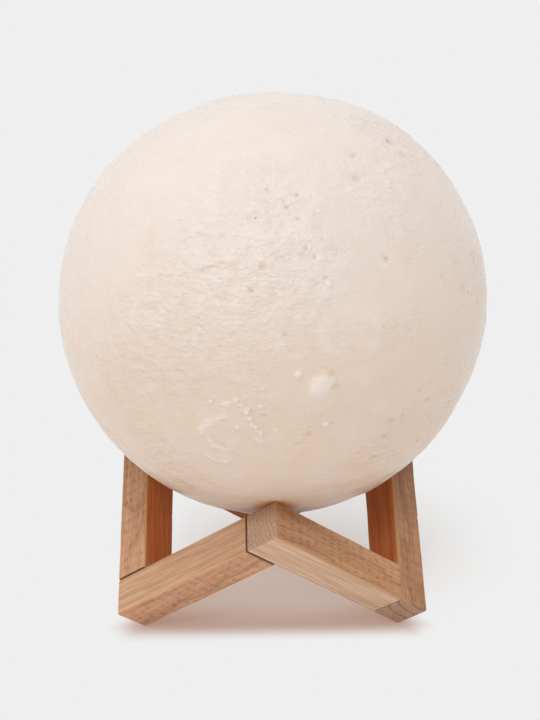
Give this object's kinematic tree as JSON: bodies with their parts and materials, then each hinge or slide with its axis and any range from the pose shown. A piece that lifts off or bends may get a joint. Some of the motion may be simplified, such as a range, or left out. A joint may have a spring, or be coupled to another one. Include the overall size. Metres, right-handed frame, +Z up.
{
  "type": "moon lamp",
  "caption": "Cratered round moon night lamp with a push button and charging socket underneath, resting on the upper corners of a zigzag ring stand of square wooden bars.",
  "frame": {"origin": "on the table, straight below the moon's centre", "axes": "+Z up; the stand's front corner and the charging socket are towards -Y; +X to the right seen from the front"},
  "size_m": [0.15, 0.15, 0.1892],
  "materials": {
    "beech": "planed and eased, lightly waxed",
    "dowel_beech": "turned",
    "moon_skin": "soft moulded skin, satin gloss",
    "white_plastic": "moulded, fine spark texture",
    "button_plastic": "polished moulding",
    "diffuser_plastic": "milky, translucent",
    "clear_plastic": "clear rod",
    "circuit_board": "green solder mask",
    "light_board": "white solder mask on aluminium",
    "light_chip": "phosphor gel",
    "black_epoxy": "moulded",
    "ferrite": "sintered",
    "capacitor_ceramic": "fired",
    "zinc_steel": "zinc plated",
    "socket_steel": "nickel plated sheet",
    "battery_sleeve": "shrink sleeve",
    "foam": "closed-cell foam",
    "red_wire": "extruded insulation",
    "white_wire": "extruded insulation"
  },
  "bodies": {
    "stand": {"front_left_bar": "beech", "front_right_bar": "beech", "right_bar": "beech", "back_right_bar": "beech", "back_left_bar": "beech", "left_bar": "beech", "stand_dowels": "dowel_beech"},
    "moon": {"moon_shell": "moon_skin", "base_cap": "white_plastic", "charge_rod": "clear_plastic", "charge_led": "light_chip", "usb_socket": "socket_steel", "tact_switch": "black_epoxy", "control_board": "circuit_board", "driver_chips": "black_epoxy", "power_coil": "ferrite", "capacitors": "capacitor_ceramic", "board_screws": "zinc_steel", "column_screws": "zinc_steel", "lamp_column": "white_plastic", "battery": "battery_sleeve", "battery_pads": "foam", "battery_leads": "red_wire", "light_leads": "white_wire", "light_board": "light_board", "light_chips": "light_chip", "diffuser_dome": "diffuser_plastic"},
    "button": {"power_button": "button_plastic"}
  },
  "joints": [
    {"name": "moon_lift", "type": "slide", "parent": "stand", "child": "moon", "axis": [0, 0, 1], "range_m": [0, 0.1]},
    {"name": "button_press", "type": "slide", "parent": "moon", "child": "button", "axis": [0, 0, 1], "range_m": [0, 0.0006], "stiffness_N_per_m": 1500, "springref_m": -0.0004}
  ]
}
